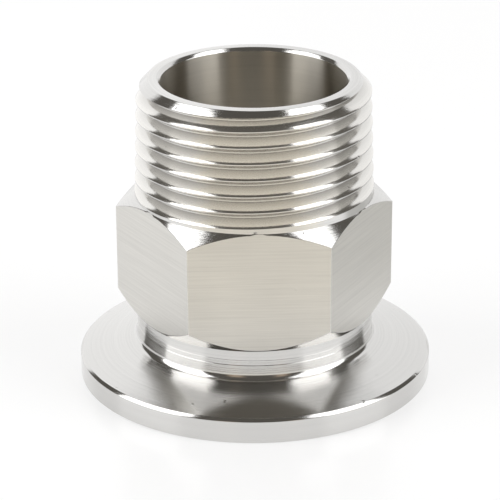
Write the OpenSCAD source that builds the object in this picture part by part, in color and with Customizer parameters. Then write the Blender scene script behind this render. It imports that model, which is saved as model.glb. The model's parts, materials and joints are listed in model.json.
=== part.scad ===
// Vacuum flange to taper thread adapter, turned and milled from one bar of stainless steel.
// It stands on its flange face: z = 0 is the sealing face, and the bore runs along +Z.

/* [Bore] */
// Diameter of the through bore; everything outside it is set by the walls below
bore_d = 20.6; // [14:0.1:25]
// Bevel at the mouth of the bore
mouth_bevel = 0.35; // [0.1:0.05:0.6]
// Width of the flat ring at the mouth, from the bore to the 45 degree lead-in
mouth_ring = 1.45; // [1:0.05:2]

/* [Flange] */
// Outside diameter of the clamped flange
flange_d = 40; // [34:0.5:52]
// Straight height of the flange rim, below its bevel
rim_h = 2.55; // [1.8:0.05:4]
// Size of the 45 degree bevel between the rim and the clamp cone
rim_bevel = 0.3; // [0.1:0.05:0.6]
// Angle of the clamp cone on the back of the flange, from the flange face
cone_angle = 15; // [10:1:20]
// Width of the ledge round the bore, at the bottom of the recess that takes the centring ring
recess_ledge = 2.8; // [1.5:0.1:3.5]
// Depth of that recess
recess_depth = 3; // [1:0.1:3.4]
// Break on the two sharp edges of the sealing face
face_break = 0.15; // [0.05:0.05:0.4]

/* [Neck] */
// Wall of the neck between flange and hexagon
neck_wall = 3.1; // [2:0.05:4]
// Radius of the fillet between the clamp cone and the neck
neck_fillet = 0.8; // [0.3:0.1:1.5]
// Straight length of the neck, from its fillet to the hexagon's lower bevel
neck_h = 2.7; // [1:0.1:10]

/* [Hexagon] */
// Wall from the bore to each flat
hex_wall = 3.2; // [2.8:0.05:6]
// Height of the hexagon, from the foot of its lower bevel to the head of its upper one
hex_h = 13.8; // [8:0.1:24]
// Angle of the lower turned bevel, from the horizontal
lower_bevel = 45; // [20:1:50]
// Angle of the upper turned bevel, from the horizontal
upper_bevel = 38; // [20:1:45]

/* [Taper thread] */
// Length from the head of the hexagon to the end of the thread
thread_len = 13.35; // [9:0.05:22]
// Wall from the bore to the crests at the thread's end
thread_wall = 2.7; // [2.3:0.05:3.1]
// Growth in diameter for each millimetre of length, 1 in 16
thread_taper = 0.0625; // [0:0.0025:0.08]
// Distance from one crest to the next, 14 to the inch
pitch = 1.814; // [1.4:0.002:2.2]
// Flat left on each crest
crest_flat = 0.26; // [0.2:0.01:0.35]
// Flat at the foot of each groove
root_flat = 0.12; // [0.05:0.01:0.2]
// Direction, seen from above, at which the groove comes out of the top face
thread_start = 106; // [0:1:359]
// Turn over which the groove fades out above the hexagon
runout = 100; // [45:5:180]

/* [Hidden] */

// Half the angle between the two sides of the thread's groove
half_angle = 30;
// Steps of the helix in one turn
turn_steps = 48;
// How far each cutter stands clear of the surface that it cuts
clear = 0.1;
// Turn of the hexagon about the bore, so that one side faces slightly to the right of -Y
hex_turn = 2;

bore_r = bore_d/2;
mouth_r = bore_r + mouth_ring;
flange_r = flange_d/2;
recess_r = bore_r + recess_ledge;
neck_r = bore_r + neck_wall;
hex_corner_r = (bore_r + hex_wall)/cos(30);
// Radius over the crests at the thread's end
thread_r = bore_r + thread_wall;

// Where the clamp cone, carried on, would meet the neck
cone_foot_r = flange_r - rim_bevel;
cone_foot_z = rim_h + rim_bevel;
cone_meet_z = cone_foot_z + (cone_foot_r - neck_r)*tan(cone_angle);
// The fillet touches the cone and the neck at this distance from that meeting point
fillet_reach = neck_fillet*tan((90 - cone_angle)/2);
// Height at which the neck meets the hexagon
neck_top = cone_meet_z + fillet_reach + neck_h;
hex_top = neck_top + hex_h;
total_h = hex_top + thread_len;

// Radius over the crests at height z
function crest_r(z) = thread_r + (total_h - z)*thread_taper/2;
thread_depth = (pitch - crest_flat - root_flat)/2/tan(half_angle);
// Height at which the lead-in bevel reaches the crests
lead_in = (crest_r(total_h) - mouth_r)/(1 - thread_taper/2);

// Points of the fillet, from the cone up to the neck
function fillet_points(steps = 10) = [
    for (i = [0:steps])
        let (turn = (90 - cone_angle)*(1 - i/steps))
            [neck_r + neck_fillet*(1 - cos(turn)), cone_meet_z + fillet_reach - neck_fillet*sin(turn)]
];

// Half of the outside, as it is turned: flange, neck, a disc for the hexagon, and the thread's blank
module outer_profile() {
    polygon(concat(
        [[0, 0], [flange_r - face_break, 0], [flange_r, face_break], [flange_r, rim_h], [cone_foot_r, cone_foot_z]],
        fillet_points(),
        [[neck_r, neck_top]],
        [[hex_corner_r + clear, neck_top + (hex_corner_r + clear - neck_r)*tan(lower_bevel)]],
        [[hex_corner_r + clear, hex_top - (hex_corner_r + clear - crest_r(hex_top))*tan(upper_bevel)]],
        [[crest_r(hex_top), hex_top], [crest_r(total_h - lead_in), total_h - lead_in]],
        [[mouth_r, total_h], [0, total_h]]
    ));
}

// Everything outside the hexagon's six sides, over the height where the turned disc stands proud of the neck
module hex_sides() {
    difference() {
        translate([0, 0, neck_top])
            cylinder(r = hex_corner_r + 2, h = hex_h);
        translate([0, 0, neck_top - clear])
            rotate([0, 0, hex_turn])
                cylinder(r = hex_corner_r, h = hex_h + 2*clear, $fn = 6);
    }
}

// The inside: recess for the centring ring, bore and the bevel at its mouth
module inside() {
    rotate_extrude()
        polygon([
            [0, -clear],
            [recess_r + face_break + clear, -clear],
            [recess_r, face_break],
            [recess_r, recess_depth],
            [bore_r, recess_depth],
            [bore_r, total_h - mouth_bevel],
            [bore_r + mouth_bevel + clear, total_h + clear],
            [0, total_h + clear]
        ]);
}

// Height of the groove's middle at turn a, where thread_start is at the top face
function groove_z(a) = total_h + pitch*(a - thread_start)/360;
// Height of the groove's middle above the hexagon, where the tool has left the work
runout_h = 0.36*pitch;
// The groove starts just above the hexagon and is cut out through the top face
first_turn = thread_start - 360*(thread_len - runout_h)/pitch;
last_turn = thread_start + 360;
groove_steps = ceil((last_turn - first_turn)*turn_steps/360);
// Outward shift of the cutting tool as it leaves the work
function lift(a) = (thread_depth + clear)*max(0, 1 - (a - first_turn)/runout);

// Section of the groove at turn a: its foot inside, its brim just outside the crests
function groove_section(a) =
    let (
        z = groove_z(a),
        foot_r = crest_r(z) - thread_depth + lift(a),
        brim_r = crest_r(z) + clear + lift(a),
        brim_half = root_flat/2 + (thread_depth + clear)*tan(half_angle)
    )
    [
        for (p = [[foot_r, -root_flat/2], [brim_r, -brim_half], [brim_r, brim_half], [foot_r, root_flat/2]])
            [p[0]*cos(a), p[0]*sin(a), z + p[1]]
    ];

// The thread's groove, as one helical cutter with four sides
module groove() {
    turns = [for (i = [0:groove_steps]) first_turn + (last_turn - first_turn)*i/groove_steps];
    points = [for (a = turns) each groove_section(a)];
    last = 4*groove_steps;
    sides = [
        for (i = [0:groove_steps - 1], k = [0:3])
            let (a = 4*i + k, b = 4*i + (k + 1)%4)
                each [[a, b + 4, a + 4], [a, b, b + 4]]
    ];
    ends = [[0, 2, 1], [0, 3, 2], [last, last + 1, last + 2], [last, last + 2, last + 3]];
    polyhedron(points = points, faces = concat(sides, ends));
}

module adapter() {
    color([0.78, 0.77, 0.74])
        difference() {
            rotate_extrude()
                outer_profile();
            hex_sides();
            groove();
            inside();
        }
}

adapter();
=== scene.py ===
"""Vacuum flange to taper thread adapter: one turned, milled and threaded piece of stainless steel."""

import json
import math

import bmesh
import bpy
from bpy.props import FloatProperty, FloatVectorProperty, PointerProperty
from mathutils import Matrix, Vector


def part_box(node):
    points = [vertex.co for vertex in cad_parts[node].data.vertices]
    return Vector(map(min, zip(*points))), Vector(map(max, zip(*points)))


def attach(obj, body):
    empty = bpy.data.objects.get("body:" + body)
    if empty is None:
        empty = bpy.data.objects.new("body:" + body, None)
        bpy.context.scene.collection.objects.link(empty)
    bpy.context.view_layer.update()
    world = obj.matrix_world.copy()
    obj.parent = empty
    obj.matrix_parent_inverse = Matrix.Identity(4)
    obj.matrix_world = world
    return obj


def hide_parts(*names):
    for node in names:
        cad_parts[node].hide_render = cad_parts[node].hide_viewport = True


bl_info = {
    "name": "Flange adapter",
    "version": (1, 0, 0),
    "blender": (4, 5, 0),
    "location": "3D View > Sidebar > Adapter",
    "description": "Builds a threaded vacuum flange adapter on its packed solid, and the studio it stands in",
    "category": "Object",
}

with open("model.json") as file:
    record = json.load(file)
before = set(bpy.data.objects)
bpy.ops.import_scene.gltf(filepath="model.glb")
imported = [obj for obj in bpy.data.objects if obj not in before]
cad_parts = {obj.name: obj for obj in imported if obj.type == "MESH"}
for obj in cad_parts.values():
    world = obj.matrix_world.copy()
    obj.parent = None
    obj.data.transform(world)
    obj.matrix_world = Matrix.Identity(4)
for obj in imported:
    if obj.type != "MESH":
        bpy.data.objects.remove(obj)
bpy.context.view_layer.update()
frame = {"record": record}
NODE = "adapter"
MM = 0.001
MICRON = 0.001 * MM
WELD = 1e-7  # points closer than this are one point


def mount(name):
    """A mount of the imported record, which holds the bore's, the recess's and the hexagon's real sizes."""
    return next(m for m in frame["record"]["mounts"] if m["name"] == name)


def linear(hex_colour):
    """An sRGB hex colour as the linear values that shaders use."""
    shares = [int(hex_colour[i : i + 2], 16) / 255 for i in (0, 2, 4)]
    return tuple(c / 12.92 if c <= 0.04045 else ((c + 0.055) / 1.055) ** 2.4 for c in shares)


LOW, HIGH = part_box(NODE)
FLANGE_R = (HIGH.x - LOW.x) / 2
TOTAL_H = HIGH.z
BORE_R = mount("through_bore")["dims"]["r_mm"] * MM
RECESS_R = mount("centring_recess")["dims"]["r_mm"] * MM
FLAT_POINT = Vector(mount("spanner_flat")["pos_m"])
FLAT_NORMAL = Vector(mount("spanner_flat")["axis"])
FLAT_DISTANCE = FLAT_POINT.dot(FLAT_NORMAL)


def length(name, description, mm):
    """A size for the panel, given in millimetres."""
    value = mm * MM
    return FloatProperty(name=name, description=description, default=value, min=0, unit="LENGTH", precision=5)


def angle(name, description, degrees):
    """An angle for the panel, given in degrees."""
    return FloatProperty(name=name, description=description, default=math.radians(degrees), unit="ROTATION")


def tint(name, description, hex_colour):
    """A colour for the panel, given as sRGB hex."""
    return FloatVectorProperty(name=name, description=description, subtype="COLOR", default=linear(hex_colour))


class AdapterSizes(bpy.types.PropertyGroup):
    """Sizes of the turned outside; flange, bore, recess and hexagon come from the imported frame"""

    rim_h: length("Rim height", "Straight height of the flange rim", 2.55)
    rim_bevel: length("Rim bevel", "45 degree bevel between rim and cone", 0.3)
    face_break: length("Face break", "Break on the edges of the sealing face", 0.15)
    cone_angle: angle("Cone angle", "Slope of the clamp cone on the flange's back", 15)
    recess_depth: length("Recess depth", "Depth of the centring recess", 3)
    neck_r: length("Neck radius", "Radius of the neck", 13.4)
    neck_fillet: length("Neck fillet", "Radius between cone and neck", 0.8)
    hex_h: length("Hexagon height", "Height of the hexagon with its bevels", 13.8)
    lower_bevel: angle("Lower bevel", "Angle of the hexagon's lower bevel", 45)
    upper_bevel: angle("Upper bevel", "Angle of the hexagon's upper bevel", 38)
    thread_len: length("Thread length", "From the hexagon to the end of the thread", 13.35)
    crest_r: length("Crest radius", "Radius over the crests at the thread's end", 13)
    taper: FloatProperty(name="Taper", description="Growth in diameter for a unit of length", default=1 / 16)
    pitch: length("Pitch", "Distance from crest to crest", 1.814)
    crest_flat: length("Crest flat", "Flat on each crest before its edges are broken", 0.26)
    root_flat: length("Root flat", "Flat at the foot of the groove", 0.12)
    thread_start: angle("Thread start", "Direction in which the groove leaves the top face", 106)
    runout: angle("Run-out", "Turn over which the groove fades out above the hexagon", 100)
    mouth_ring: length("Mouth ring", "Width of the flat ring round the mouth", 1.45)
    mouth_bevel: length("Mouth bevel", "Bevel at the mouth of the bore", 0.35)
    edge: length("Edge rounding", "Radius on the turned and milled edges", 0.08)
    score: length("Neck lines", "Half the width of the widest line scored round the neck", 0.035)


class AdapterFinish(bpy.types.PropertyGroup):
    """Colours of the steel's surfaces and of the studio"""

    turned: tint("Turned steel", "Bright turned stainless steel", "d5d4d2")
    threaded: tint("Threaded steel", "Stainless steel of the thread's crests and flanks", "ebe9e5")
    milled: tint("Milled steel", "Satin milled stainless steel", "e3e1dc")
    bored: tint("Bored steel", "Stainless steel of the bore, rougher than the outside", "c9c4ba")
    table: tint("Table", "White table top", "f8f8f8")
    grey: tint("Grey card", "Pale grey card on the table, to the right", "cfcfcd")
    card: tint("Card", "Warm white card on the table in front of the piece", "f8f3e8")


# ---- modelling by hand ----


def put_down():
    """Leaves edit mode and deselects everything, the frame's nodes too."""
    if bpy.context.object and bpy.context.object.mode != "OBJECT":
        bpy.ops.object.mode_set(mode="OBJECT")
    bpy.ops.object.select_all(action="DESELECT")


def pick_up(obj, editing=True):
    """Makes obj the only selected object, in edit mode unless told otherwise."""
    put_down()
    obj.select_set(True)
    bpy.context.view_layer.objects.active = obj
    if editing:
        bpy.ops.object.mode_set(mode="EDIT")


def pick(kind, test):
    """Selects just the vertices, edges or faces of the edited mesh that pass the test."""
    bpy.ops.mesh.select_mode(type=kind)
    bpy.ops.mesh.select_all(action="DESELECT")
    mesh = bmesh.from_edit_mesh(bpy.context.object.data)
    for part in {"VERT": mesh.verts, "EDGE": mesh.edges, "FACE": mesh.faces}[kind]:
        part.select = test(part)
    mesh.select_flush_mode()
    bmesh.update_edit_mesh(bpy.context.object.data)


def draw_profile(name, points):
    """A closed wire in the XZ plane: one vertex, extruded from each (radius, height) point to the next."""
    put_down()
    radius, height = points[0]
    bpy.ops.mesh.primitive_plane_add(size=MM, location=(radius, 0, height))
    obj = bpy.context.object
    obj.name = obj.data.name = name
    bpy.ops.object.transform_apply(location=True)
    bpy.ops.object.mode_set(mode="EDIT")
    bpy.ops.mesh.select_mode(type="VERT")
    bpy.ops.mesh.merge(type="CENTER")
    here = Vector((radius, 0, height))
    for radius, height in points[1:]:
        there = Vector((radius, 0, height))
        bpy.ops.mesh.extrude_region_move(TRANSFORM_OT_translate={"value": there - here})
        here = there
    pick("VERT", lambda v: len(v.link_edges) == 1)
    bpy.ops.mesh.edge_face_add()
    return obj


def round_corner(corner, radius, segments):
    """Rounds the profile's corner at (radius, height), in edit mode."""
    at = Vector((corner[0], 0, corner[1]))
    pick("VERT", lambda v: (v.co - at).length < WELD)
    mesh = bmesh.from_edit_mesh(bpy.context.object.data)
    vertex = next(v for v in mesh.verts if v.select)
    first, second = [(e.other_vert(vertex).co - vertex.co) for e in vertex.link_edges]
    reach = radius / math.tan(first.angle(second) / 2)
    bpy.ops.mesh.bevel(offset_type="OFFSET", offset=reach, segments=segments, affect="VERTICES")


def apply_modifier(obj, kind, **settings):
    """Adds a modifier of a kind to obj and applies it."""
    pick_up(obj, editing=False)
    modifier = obj.modifiers.new(kind.title(), kind)
    for key, value in settings.items():
        setattr(modifier, key, value)
    bpy.ops.object.modifier_apply(modifier=modifier.name)


# ---- the adapter ----

AROUND = 192  # steps of the lathe in one turn, and of the thread's helix, so that their faces line up
HALF_ANGLE = math.radians(30)  # between each side of the thread's groove and its middle
RUNOUT_H = 0.36  # height of the groove's middle above the hexagon where the tool has left the work, in pitches
DISC_SPARE = 0.1 * MM  # how far the hexagon's turned disc reaches past its corners
CUTTER_CLEAR = 0.03 * MM  # how far the thread's cutter stands clear of the crests
# how deep the upper and the lower edge of each crest are broken, at 45 degrees
UPPER_BREAK = 0.24 * MM
LOWER_BREAK = 0.09 * MM
# lines scored round the neck: how far below the hexagon, and how wide beside the widest one
NECK_LINES = ((1.71 * MM, 1), (1.1 * MM, 0.5))


class Measures:
    """Heights and radii worked out from the sizes, as the part's source does."""

    def __init__(self, s):
        self.cone_foot = (FLANGE_R - s.rim_bevel, s.rim_h + s.rim_bevel)
        meet_z = self.cone_foot[1] + (self.cone_foot[0] - s.neck_r) * math.tan(s.cone_angle)
        self.cone_meet = (s.neck_r, meet_z)
        self.hex_top = TOTAL_H - s.thread_len
        self.neck_top = self.hex_top - s.hex_h
        self.corner_r = FLAT_DISTANCE / math.cos(math.radians(30))
        self.disc_r = self.corner_r + DISC_SPARE
        self.mouth_r = BORE_R + s.mouth_ring
        self.depth = (s.pitch - s.crest_flat - s.root_flat) / 2 / math.tan(HALF_ANGLE)
        self.lead_in = (s.crest_r - self.mouth_r) / (1 - s.taper / 2)
        self.slope = s.taper / 2
        self.end_r = s.crest_r
        self.flats = [Matrix.Rotation(math.radians(60 * k), 3, "Z") @ FLAT_NORMAL for k in range(6)]

    def crest_r(self, height):
        """Radius over the crests at a height, before their edges are broken."""
        return self.end_r + (TOTAL_H - height) * self.slope


def turn_blank(s, m):
    """The lathe's work: flange, neck, a disc for the hexagon, the thread's blank, bore and recess."""
    foot = (s.neck_r, m.neck_top)
    low_disc = (m.disc_r, m.neck_top + (m.disc_r - s.neck_r) * math.tan(s.lower_bevel))
    high_disc = (m.disc_r, m.hex_top - (m.disc_r - m.crest_r(m.hex_top)) * math.tan(s.upper_bevel))
    shank = (m.crest_r(m.hex_top), m.hex_top)
    lead = (m.crest_r(TOTAL_H - m.lead_in), TOTAL_H - m.lead_in)
    mouth = (m.mouth_r, TOTAL_H)
    ring = (BORE_R + s.mouth_bevel, TOTAL_H)
    throat = (BORE_R, TOTAL_H - s.mouth_bevel)
    outer_break = (FLANGE_R - s.face_break, 0), (FLANGE_R, s.face_break)
    inner_break = (RECESS_R, s.face_break), (RECESS_R + s.face_break, 0)
    rim_top = (FLANGE_R, s.rim_h)
    ledge = (BORE_R, s.recess_depth)
    recess = (RECESS_R, s.recess_depth)
    scores = []
    for below, share in NECK_LINES:
        # sides at 45 degrees, too steep for smooth shading to blend them into the neck
        height, half = m.neck_top - below, s.score * share
        scores += [(s.neck_r, height - half), (s.neck_r - half, height), (s.neck_r, height + half)]
    flange = [*outer_break, rim_top, m.cone_foot, m.cone_meet]
    outside = [*flange, *scores, foot, low_disc, high_disc, shank, lead]
    inside = [mouth, ring, throat, ledge, recess, *inner_break]
    blank = draw_profile(NODE + "_steel", outside + inside)
    round_corner(m.cone_meet, s.neck_fillet, segments=10)
    for corner in (*outer_break, rim_top, m.cone_foot, lead, mouth, ring, throat, ledge, *inner_break):
        round_corner(corner, s.edge, segments=3)
    round_corner(recess, 2 * s.edge, segments=4)
    bpy.ops.mesh.select_all(action="SELECT")
    bpy.ops.mesh.spin(steps=AROUND, angle=math.tau, center=(0, 0, 0), axis=(0, 0, 1))
    bpy.ops.mesh.select_all(action="SELECT")
    bpy.ops.mesh.remove_doubles(threshold=WELD)
    bpy.ops.mesh.normals_make_consistent(inside=False)
    return blank


def mill_hexagon(blank, s, m):
    """The mill's work: six cuts, each taking the disc down to one flat."""
    pick_up(blank)

    def on_disc(face):
        middle = face.calc_center_median()
        return m.neck_top < middle.z < m.hex_top and middle.to_2d().length > s.neck_r - s.edge

    for flat in m.flats:
        pick("FACE", on_disc)
        bpy.ops.mesh.bisect(plane_co=flat * FLAT_DISTANCE, plane_no=flat, use_fill=True, clear_outer=True)

    def on_flat(face):
        # a flat is bounded by two curved edges, so it has more corners than any other face there
        on_hexagon = m.neck_top < face.calc_center_median().z < m.hex_top and len(face.verts) > 12
        return on_hexagon and any(face.normal.dot(flat) > 0.9999 for flat in m.flats)

    pick("EDGE", lambda edge: any(on_flat(face) for face in edge.link_faces))
    bpy.ops.mesh.bevel(offset=s.edge / 2, segments=3, affect="EDGES")


def thread_cutter(s, m):
    """The threading tool's path: the groove's section, screwed round the bore and led out of the work."""
    half_root = s.root_flat / 2
    # the groove's lower side ends at the upper edge of the crest below, and its upper side at the edge above
    low = half_root + (m.depth - UPPER_BREAK) * math.tan(HALF_ANGLE)
    high = half_root + (m.depth - LOWER_BREAK) * math.tan(HALF_ANGLE)
    first_turn = s.thread_start - math.tau * (s.thread_len - RUNOUT_H * s.pitch) / s.pitch
    step = math.tau / AROUND
    first_step = math.floor(first_turn / step)
    last_step = math.ceil((s.thread_start + math.tau) / step)
    steps = last_step - first_step
    start = first_step * step
    start_z = TOTAL_H + s.pitch * (start - s.thread_start) / math.tau
    foot_r = m.end_r - m.depth
    brim_r = foot_r + (m.depth + CUTTER_CLEAR)
    section = [
        (foot_r, half_root),
        (foot_r, -half_root),
        (foot_r + m.depth - UPPER_BREAK, -low),
        (brim_r, -low - (UPPER_BREAK + CUTTER_CLEAR)),
        (brim_r, high + (LOWER_BREAK + CUTTER_CLEAR)),
        (foot_r + m.depth - LOWER_BREAK, high),
    ]
    cutter = draw_profile("thread_cutter", [(r, start_z + z) for r, z in section])
    bpy.ops.mesh.select_all(action="SELECT")
    put_down()
    pick_up(cutter, editing=False)
    cutter.rotation_euler.z = start
    bpy.ops.object.transform_apply(rotation=True)
    turn = steps * step
    apply_modifier(
        cutter,
        "SCREW",
        axis="Z",
        angle=turn,
        screw_offset=s.pitch * turn / math.tau,
        steps=steps,
        render_steps=steps,
        use_merge_vertices=False,
        use_smooth_shade=False,
    )
    pick_up(cutter)
    bpy.ops.mesh.select_all(action="DESELECT")
    bpy.ops.mesh.select_mode(type="EDGE")
    bpy.ops.mesh.select_non_manifold()
    bpy.ops.mesh.fill_holes(sides=0)
    bpy.ops.mesh.select_all(action="SELECT")
    bpy.ops.mesh.normals_make_consistent(inside=False)
    mesh = bmesh.from_edit_mesh(cutter.data)
    for v in mesh.verts:
        # the groove follows the taper, and the tool leaves the work over the run-out
        way = v.index // len(section) * step
        middle = start_z + s.pitch * way / math.tau
        lift = (m.depth + 2 * CUTTER_CLEAR) * max(0, 1 - way / s.runout)
        growth = (TOTAL_H - middle) * m.slope + lift
        v.co += Vector((v.co.x, v.co.y, 0)).normalized() * growth
    bmesh.update_edit_mesh(cutter.data)
    put_down()
    return cutter


def cut_thread(blank, s, m):
    """The thread's groove, cut out of the blank in one pass."""
    cutter = thread_cutter(s, m)
    uncut = len(blank.data.polygons)
    apply_modifier(blank, "BOOLEAN", operation="DIFFERENCE", object=cutter, solver="EXACT")
    bpy.data.objects.remove(cutter)
    if len(blank.data.polygons) <= uncut:
        raise RuntimeError("The thread wasn't cut: its cutter and the blank don't meet as they should")


# ---- finishes ----


def add(tree, kind, links=None, **settings):
    """One node, with its settings, values for its sockets and links to them."""
    node = tree.nodes.new("ShaderNode" + kind)
    for key, value in settings.items():
        if key[0].isupper():
            node.inputs[key.replace("_", " ")].default_value = value
        else:
            setattr(node, key, value)
    for key, source in (links or {}).items():
        tree.links.new(source, node.inputs[key])
    return node


NICK_DEPTH = 0.03 * MM
NICK_SPACING = 2.5 * MM
NICK_R = 0.09  # in spacings, so that a nick is about 0.4 mm across
WIPED = 5 * MM  # size of the patches that hands and cloths have dulled
UNEVEN = 0.15  # how much of its roughness a patch may gain or lose; more would show the patches' outlines
ROOT_SHADE = 0.7  # painted shade: share of the crests' colour painted on the thread's root beside its crests


def steel(name, colour, roughness, anisotropy, line, line_depth, contrast=0.1, streak=None, groove=None):
    """Austenitic stainless steel as a cutting tool leaves it: bright, with marks that spread a reflection
    across them, so the gloss is stretched along the bore. The marks are rings round the bore, a line wide and
    line_depth deep, or, where streak is given, lines along a flat that last that many times their width. In a
    thread's groove, given as its crests' radius at z = 0, their fall for each unit of height and its depth,
    the colour is painted darker towards the root, as painted shade."""
    material = bpy.data.materials.new(name)
    material.use_nodes = True
    tree = material.node_tree
    tree.nodes.clear()
    place = add(tree, "TexCoord").outputs["Object"]
    if streak:
        across = add(tree, "VectorMath", {0: place}, operation="MULTIPLY")
        across.inputs[1].default_value = (1 / streak, 1 / streak, 1)
    else:
        split = add(tree, "SeparateXYZ", {"Vector": place})
        flat = add(tree, "CombineXYZ", {"X": split.outputs["X"], "Y": split.outputs["Y"]})
        radius = add(tree, "VectorMath", {0: flat.outputs["Vector"]}, operation="LENGTH")
        across = add(tree, "CombineXYZ", {"X": radius.outputs["Value"], "Y": split.outputs["Z"]})
    # tool marks, a few of them deeper than the rest
    way = {"Vector": across.outputs["Vector"]}
    marks = add(tree, "TexNoise", way, Scale=1 / line, Detail=3, Roughness=0.7)
    # where hands and cloths have dulled it
    wiped = add(tree, "TexNoise", {"Vector": place}, Scale=1 / WIPED, Detail=2)
    dullness = add(
        tree,
        "MapRange",
        {"Value": wiped.outputs["Fac"]},
        To_Min=roughness * (1 - UNEVEN),
        To_Max=roughness * (1 + UNEVEN),
    )
    tone = add(tree, "Mix", {"Factor": marks.outputs["Fac"]}, data_type="RGBA")
    tone.inputs["A"].default_value = (*[c * (1 - contrast) for c in colour], 1)
    tone.inputs["B"].default_value = (*[min(1, c * (1 + contrast)) for c in colour], 1)
    base = tone.outputs["Result"]
    # painted shade: the base colour darkens from the crests down to the thread's root
    if groove:
        crest_r, fall, depth = groove
        crest = add(tree, "Math", {0: split.outputs["Z"]}, operation="MULTIPLY_ADD")
        crest.inputs[1].default_value, crest.inputs[2].default_value = -fall, crest_r
        down = add(tree, "Math", {0: crest.outputs["Value"], 1: radius.outputs["Value"]}, operation="SUBTRACT")
        root_shade_mask = add(tree, "MapRange", {"Value": down.outputs["Value"]}, From_Max=depth, To_Min=0, To_Max=1)
        root_shaded = add(tree, "Mix", {"Factor": root_shade_mask.outputs["Result"], "A": base}, data_type="RGBA")
        root_shaded.inputs["B"].default_value = (*[c * ROOT_SHADE for c in colour], 1)
        base = root_shaded.outputs["Result"]
    # a few nicks from handling, which are the only marks that differ from one side to another
    nearest = add(tree, "TexVoronoi", {"Vector": place}, Scale=1 / NICK_SPACING)
    nick = add(tree, "MapRange", {"Value": nearest.outputs["Distance"]}, From_Max=NICK_R, To_Min=-1, To_Max=0)
    height = add(tree, "Math", {0: nick.outputs["Result"], 2: marks.outputs["Fac"]}, operation="MULTIPLY_ADD")
    height.inputs[1].default_value = NICK_DEPTH / line_depth
    relief = add(tree, "Bump", {"Height": height.outputs["Value"]}, Distance=line_depth)
    # the tangent runs round the bore, and the quarter turn stretches the gloss along the bore instead
    tangent = add(tree, "Tangent", direction_type="RADIAL", axis="Z")
    shader = add(
        tree,
        "BsdfPrincipled",
        {
            "Base Color": base,
            "Roughness": dullness.outputs["Result"],
            "Normal": relief.outputs["Normal"],
            "Tangent": tangent.outputs["Tangent"],
        },
        Metallic=1,
        Anisotropic=anisotropy,
        Anisotropic_Rotation=0.25,
    )
    add(tree, "OutputMaterial", {"Surface": shader.outputs["BSDF"]})
    return material


def turned_steel(colour):
    """Turned with a sharp tool and a fine feed, close to a mirror."""
    marks = {"line": 0.15 * MM, "line_depth": 9 * MICRON}
    return steel("turned_stainless_steel", colour, roughness=0.13, anisotropy=0.6, **marks)


def threaded_steel(colour, m):
    """Cut in several passes along the helix, with painted shade that darkens it towards the root."""
    marks = {"line": 0.5 * MM, "line_depth": 5 * MICRON, "groove": (m.crest_r(0), m.slope, m.depth)}
    return steel("threaded_stainless_steel", colour, roughness=0.15, anisotropy=0.5, **marks)


def milled_steel(colour):
    """Face milled, which leaves a satin grain along each flat."""
    marks = {"line": 0.22 * MM, "line_depth": 16 * MICRON, "contrast": 0.14, "streak": 60}
    return steel("milled_stainless_steel", colour, roughness=0.34, anisotropy=0.7, **marks)


def bored_steel(colour):
    """Bored with a long thin bar, whose fine rings blur a reflection along the bore."""
    marks = {"line": 0.5 * MM, "line_depth": 3 * MICRON}
    return steel("bored_stainless_steel", colour, roughness=0.31, anisotropy=1, **marks)


def finish_faces(obj, s, m, finishes):
    """Gives each surface the finish of the tool that made it: all turned, then threaded, milled and bored."""
    for material in finishes:
        obj.data.materials.append(material)
    pick_up(obj)
    near = 5 * MICRON

    def threaded(face):
        middle = face.calc_center_median()
        turned_r = min(m.crest_r(middle.z), m.mouth_r + TOTAL_H - middle.z)
        on_thread = m.hex_top < middle.z < TOTAL_H - near and abs(face.normal.z) < 0.9
        return on_thread and BORE_R + 2 * s.mouth_bevel < middle.to_2d().length < turned_r - near

    def milled(face):
        middle = face.calc_center_median()
        return m.neck_top < middle.z < m.hex_top and any(
            abs(middle.dot(flat) - FLAT_DISTANCE) < near and face.normal.dot(flat) > 0.999 for flat in m.flats
        )

    def bored(face):
        return face.calc_center_median().to_2d().length < BORE_R + near and abs(face.normal.z) < 0.1

    for index, test in ((1, threaded), (2, milled), (3, bored)):
        pick("FACE", test)
        obj.active_material_index = index
        bpy.ops.object.material_slot_assign()
    put_down()


class ADAPTER_OT_machine(bpy.types.Operator):
    """Turns, mills and threads the adapter out of one bar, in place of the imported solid"""

    bl_idname = "adapter.machine"
    bl_label = "Machine the adapter"

    def execute(self, context):
        s, finish = context.scene.adapter_sizes, context.scene.adapter_finish
        m = Measures(s)
        blank = turn_blank(s, m)
        mill_hexagon(blank, s, m)
        cut_thread(blank, s, m)
        blank.data.materials.clear()
        finishes = (
            turned_steel(finish.turned),
            threaded_steel(finish.threaded, m),
            milled_steel(finish.milled),
            bored_steel(finish.bored),
        )
        finish_faces(blank, s, m, finishes)
        pick_up(blank, editing=False)
        bpy.ops.object.shade_smooth_by_angle(angle=math.radians(30))
        apply_modifier(blank, "WEIGHTED_NORMAL", mode="FACE_AREA", weight=50, keep_sharp=True)
        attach(blank, "root")
        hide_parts(NODE)
        return {"FINISHED"}


# ---- the studio ----

WHITE_SHARE = 0.6  # share of the table that is plain white to the camera and in reflections
SOFTBOX = 2.5  # strength of the side softboxes
SOFTBOX_DISTANCE = 0.62
SIDE, UP = 80, 33  # direction from the piece to a softbox's middle, in degrees
# the softboxes' outlines: (azimuth, elevation) directions in degrees, as cone, bevels and crests mirror them
RIGHT_OUTLINE = ((46, 0.5), (90, 0.5), (96, 46), (105, 52), (110, 62), (84, 73), (60, 64), (45, 54))
LEFT_OUTLINE = ((-49, 0.5), (-92, 0.5), (-106, 41), (-113, 46), (-112, 58), (-92, 65), (-64, 63), (-52, 53))
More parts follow.
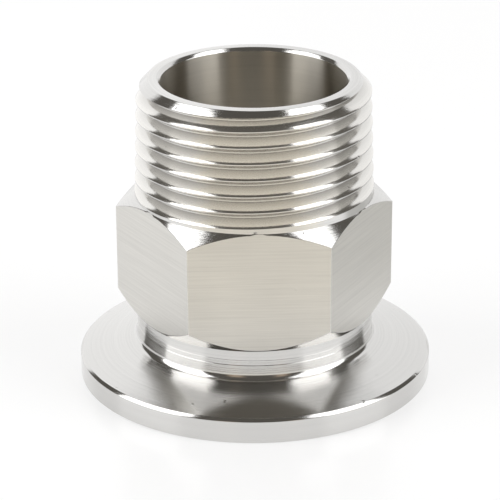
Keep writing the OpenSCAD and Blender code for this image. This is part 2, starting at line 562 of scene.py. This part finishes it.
# the wall behind the piece, in two sheets and a fainter one over them: strength and (x, z) outline in metres
WALL_Y = 0.9
WALLS = {
    "back_wall_left": (1.14, ((-1.035, 0), (0, 0), (0, 0.95), (-0.4, 0.93), (-1.035, 0.85))),
    "back_wall_right": (1.03, ((0, 0), (1.19, 0), (1.19, 1.2), (0.4, 0.98), (0, 0.95))),
    "over_wall": (1, ((-0.55, 0.91), (0.55, 1.01), (0.42, 1.3), (-0.42, 1.25))),
}
LAMP_Z, LAMP_REACH = 1.1, 0.7  # height of the lamp overhead, and half its width
# brown cards on both sides of the camera: the azimuths of their inner and outer edge, and of their middle
CARDS = {"card_right": (20, 30, 25), "card_left": (-12, -25, -18)}
CARD_BOTTOM, CARD_TOP, CARD_MIDDLE = 2, 34, 18
CARD_DISTANCE = 1.1
BROWN = linear("ffe7ce")
# cards on the table beside the camera's view, as (x, y) outlines in metres
WARM_CARD = ((0.03, -0.036), (-0.03, -0.036), (-0.4, -0.07), (-0.6, -0.5), (0.6, -0.5), (0.4, -0.07))
GREY_CARD = ((0.032, 0.0), (0.3, 0.0), (0.3, 0.4), (0.2, 0.4), (0.045, 0.15))
PAPER = 0.2 * MM
ROOM = linear("5f5c57")  # the dim room round the studio
# the camera: focal length in pixels of a picture 500 wide, place, and how far it looks down and is turned
FOCAL, PICTURE, SENSOR_MM = 2357, 500, 36
CAMERA_AT = (-0.000516, -0.24680, 0.11632)
LOOK_DOWN, TURN = 22.453, -0.313


def glow(name, strength, colour=(1, 1, 1)):
    """A lit cloth or card of the studio: an even light."""
    material = bpy.data.materials.new(name)
    material.use_nodes = True
    tree = material.node_tree
    tree.nodes.clear()
    light = add(tree, "Emission", Color=(*colour, 1), Strength=strength)
    add(tree, "OutputMaterial", {"Surface": light.outputs["Emission"]})
    return material


def direction(azimuth, elevation):
    """Unit vector, with azimuth 0 towards the camera and 90 to the right, in degrees."""
    a, e = math.radians(azimuth), math.radians(elevation)
    return Vector((math.sin(a) * math.cos(e), -math.cos(a) * math.cos(e), math.sin(e)))


def sheet(name, corners, material):
    """A flat sheet of the studio through its corners, out of the camera's sight."""
    put_down()
    bpy.ops.mesh.primitive_circle_add(vertices=len(corners), fill_type="NGON")
    obj = bpy.context.object
    obj.name = obj.data.name = name
    for vertex, corner in zip(obj.data.vertices, corners):
        vertex.co = corner
    obj.data.materials.append(material)
    obj.visible_camera = False
    return obj


def softbox(name, outline, facing, distance, material):
    """A flat softbox that faces the piece, cut to an outline of directions as seen from it."""
    front = direction(*facing)
    corners = [direction(*d) * distance / direction(*d).dot(front) for d in outline]
    sheet(name, corners, material)


def white_table(colour):
    """White laminate: partly plain white to the camera and in the steel, and the rest shows the shadow."""
    material = bpy.data.materials.new("white_table")
    material.use_nodes = True
    tree = material.node_tree
    tree.nodes.clear()
    lit = add(tree, "BsdfPrincipled", Base_Color=(*colour, 1), Roughness=0.2)
    white = add(tree, "Emission", Strength=1)
    path = add(tree, "LightPath").outputs
    seen = add(tree, "Math", {0: path["Is Camera Ray"], 1: path["Is Glossy Ray"]}, operation="ADD")
    seen = add(tree, "Math", {0: seen.outputs["Value"], 1: path["Is Transmission Ray"]}, operation="ADD")
    share = add(tree, "Math", {0: seen.outputs["Value"]}, operation="MULTIPLY", use_clamp=True)
    share.inputs[1].default_value = WHITE_SHARE
    surfaces = {"Fac": share.outputs["Value"], 1: lit.outputs["BSDF"], 2: white.outputs["Emission"]}
    both = add(tree, "MixShader", surfaces)
    add(tree, "OutputMaterial", {"Surface": both.outputs["Shader"]})
    return material


def lay_table(finish):
    """The table top on which the piece stands, wide enough to fill the view."""
    put_down()
    bpy.ops.mesh.primitive_plane_add(size=6)
    table = bpy.context.object
    table.name = "table"
    table.data.materials.append(white_table(finish.table))


def hang_lights():
    """Softboxes on both sides, a lit wall behind and a lamp overhead, which the steel doesn't mirror."""
    cloth = glow("softbox_cloth", SOFTBOX)
    softbox("softbox_right", RIGHT_OUTLINE, (SIDE, UP), SOFTBOX_DISTANCE, cloth)
    softbox("softbox_left", LEFT_OUTLINE, (-SIDE, UP), SOFTBOX_DISTANCE, cloth)
    for name, (strength, outline) in WALLS.items():
        sheet(name, [Vector((x, WALL_Y, z)) for x, z in outline], glow(name + "_cloth", strength))
    corners = ((-1, -1), (1, -1), (1, 1), (-1, 1))
    overhead = [Vector((x * LAMP_REACH, y * LAMP_REACH, LAMP_Z)) for x, y in corners]
    sheet("overhead_lamp", overhead, glow("overhead_cloth", 1)).visible_glossy = False


def lay_cards(finish):
    """Brown cards beside the camera, and pale ones on the table, which throw no shade on it."""
    brown = glow("brown_card", 0.5, BROWN)
    for name, (first, last, middle) in CARDS.items():
        outline = [(first, CARD_BOTTOM), (last, CARD_BOTTOM), (last, CARD_TOP), (first, CARD_TOP)]
        softbox(name, outline, (middle, CARD_MIDDLE), CARD_DISTANCE, brown)
    for name, shade, outline in (("warm_card", finish.card, WARM_CARD), ("grey_card", finish.grey, GREY_CARD)):
        paper = bpy.data.materials.new(name + "_paper")
        paper.use_nodes = True
        paper.node_tree.nodes["Principled BSDF"].inputs["Base Color"].default_value = (*shade, 1)
        sheet(name, [Vector((x, y, PAPER)) for x, y in outline], paper).visible_shadow = False


def dim_room():
    """The unlit room, which shows as the dark bands in the steel."""
    world = bpy.data.worlds.new("studio")
    world.use_nodes = True
    world.node_tree.nodes["Background"].inputs["Color"].default_value = (*ROOM, 1)
    return world


def set_up_camera():
    """A long lens that looks down on the piece, with all of it in focus."""
    data = bpy.data.cameras.new("camera")
    data.sensor_width = SENSOR_MM
    data.lens = FOCAL / PICTURE * SENSOR_MM
    data.clip_start = 0.01
    camera = bpy.data.objects.new("camera", data)
    bpy.context.scene.collection.objects.link(camera)
    camera.location = CAMERA_AT
    tilt = Matrix.Rotation(math.radians(90 - LOOK_DOWN), 4, "X")
    camera.rotation_euler = (tilt @ Matrix.Rotation(math.radians(TURN), 4, "Z")).to_euler()
    return camera


class ADAPTER_OT_studio(bpy.types.Operator):
    """Sets up the table, the soft lights and the camera"""

    bl_idname = "adapter.studio"
    bl_label = "Set up the studio"

    def execute(self, context):
        scene, finish = context.scene, context.scene.adapter_finish
        lay_table(finish)
        hang_lights()
        lay_cards(finish)
        scene.world = dim_room()
        scene.camera = set_up_camera()
        scene.view_settings.view_transform = "Standard"
        return {"FINISHED"}


class ADAPTER_PT_panel(bpy.types.Panel):
    """Lists the sizes, the colours and the two steps that build the scene"""

    bl_label = "Flange adapter"
    bl_idname = "ADAPTER_PT_panel"
    bl_space_type = "VIEW_3D"
    bl_region_type = "UI"
    bl_category = "Adapter"

    def draw(self, context):
        for group in (context.scene.adapter_sizes, context.scene.adapter_finish):
            column = self.layout.column()
            for key in group.__annotations__:
                column.prop(group, key)
        self.layout.operator(ADAPTER_OT_machine.bl_idname)
        self.layout.operator(ADAPTER_OT_studio.bl_idname)


CLASSES = (AdapterSizes, AdapterFinish, ADAPTER_OT_machine, ADAPTER_OT_studio, ADAPTER_PT_panel)


def register():
    for cls in CLASSES:
        bpy.utils.register_class(cls)
    bpy.types.Scene.adapter_sizes = PointerProperty(type=AdapterSizes)
    bpy.types.Scene.adapter_finish = PointerProperty(type=AdapterFinish)


def unregister():
    del bpy.types.Scene.adapter_sizes, bpy.types.Scene.adapter_finish
    for cls in reversed(CLASSES):
        bpy.utils.unregister_class(cls)


def main():
    register()
    bpy.ops.adapter.machine()
    bpy.ops.adapter.studio()


if __name__ == "__main__":
    main()
